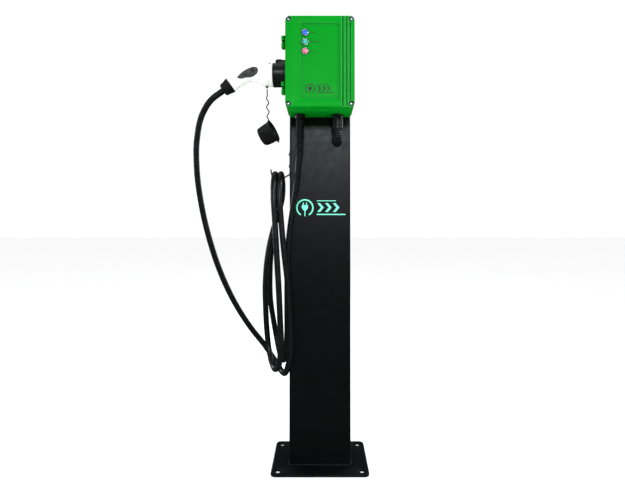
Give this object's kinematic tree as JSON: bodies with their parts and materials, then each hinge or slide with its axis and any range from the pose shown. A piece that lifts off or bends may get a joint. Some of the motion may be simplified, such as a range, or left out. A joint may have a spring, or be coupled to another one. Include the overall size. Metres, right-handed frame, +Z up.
{
  "type": "ev charging post",
  "caption": "Electric-vehicle charging post: steel column on a base plate, hinged charger box, holster with connector, cable looped over a side hook.",
  "frame": {"origin": "centre of the base plate's underside", "axes": "+Z up along the column; the box and its lid face -Y; the holster and the cable hook are on the -X side"},
  "size_m": [0.564, 0.2676, 1.413],
  "materials": {
    "black_steel": "satin powder coat",
    "green_shell": "semi-gloss moulded",
    "black_plastic": "matte moulded",
    "black_rubber": "matte",
    "cable_jacket": "satin jacket",
    "white_shell": "semi-gloss moulded",
    "grey_grip": "fine texture",
    "zinc_steel": "zinc plated",
    "bezel_metal": "satin chrome",
    "lens_blue": "translucent",
    "lens_green": "translucent",
    "lens_red": "translucent",
    "device_grey": "fine texture",
    "toggle_blue": "moulded",
    "board_green": "solder mask",
    "brass": "turned",
    "wire_insulation": "satin"
  },
  "bodies": {
    "post": {"base_plate": "black_steel", "column": "black_steel", "weld_bead": "black_steel", "column_cap": "black_plastic", "rear_cover": "black_steel", "rear_cover_screws": "zinc_steel", "cable_hook": "black_steel", "hook_bolts": "black_steel", "box_base": "green_shell", "lid_gasket": "black_rubber", "hinge_pins": "zinc_steel", "box_mount_screws": "zinc_steel", "din_rail": "zinc_steel", "rcbo_body": "device_grey", "contactor": "device_grey", "power_supply": "device_grey", "terminal_block": "device_grey", "earth_bar": "brass", "controller_board": "board_green", "board_parts": "black_plastic", "board_standoffs": "brass", "internal_wires": "wire_insulation", "cable_gland": "black_plastic", "gland_locknut": "black_plastic", "bend_spiral": "black_plastic", "supply_gland": "black_plastic", "supply_locknut": "black_plastic", "supply_conduit": "black_plastic", "supply_cable": "cable_jacket", "holster": "black_plastic", "holster_screws": "zinc_steel", "charging_cable": "cable_jacket"},
    "lid": {"box_lid": "green_shell", "lid_screws": "zinc_steel", "indicator_bezels": "bezel_metal", "lens_blue": "lens_blue", "lens_green": "lens_green", "lens_red": "lens_red", "indicator_nuts": "zinc_steel"},
    "gun": {"gun_shell_front": "white_shell", "gun_shell_rear": "white_shell", "grip_inlays": "grey_grip", "gun_nose": "black_plastic", "gun_contacts": "brass", "gun_screws": "zinc_steel", "gun_boot": "black_rubber", "lanyard_stud": "black_rubber"},
    "cap": {"lanyard": "black_rubber", "cap": "black_rubber"},
    "breaker_toggle": {"rcbo_lever": "toggle_blue"}
  },
  "joints": [
    {"name": "lid_hinge", "type": "hinge", "parent": "post", "child": "lid", "pos_m": [-0.1125, -0.126, 1.2755], "axis": [0, 0, -1], "range_deg": [0, 95]},
    {"name": "gun_slide", "type": "slide", "parent": "post", "child": "gun", "axis": [-1, 0, 0], "range_m": [0, 0.05], "deforming": ["charging_cable"]},
    {"name": "cap_swing", "type": "hinge", "parent": "gun", "child": "cap", "pos_m": [-0.1685, -0.088, 1.219], "axis": [0, 1, 0], "range_deg": [-12, 45]},
    {"name": "breaker_toggle_turn", "type": "hinge", "parent": "post", "child": "breaker_toggle", "pos_m": [-0.07, -0.1075, 1.303], "axis": [1, 0, 0], "range_deg": [0, 90]}
  ]
}
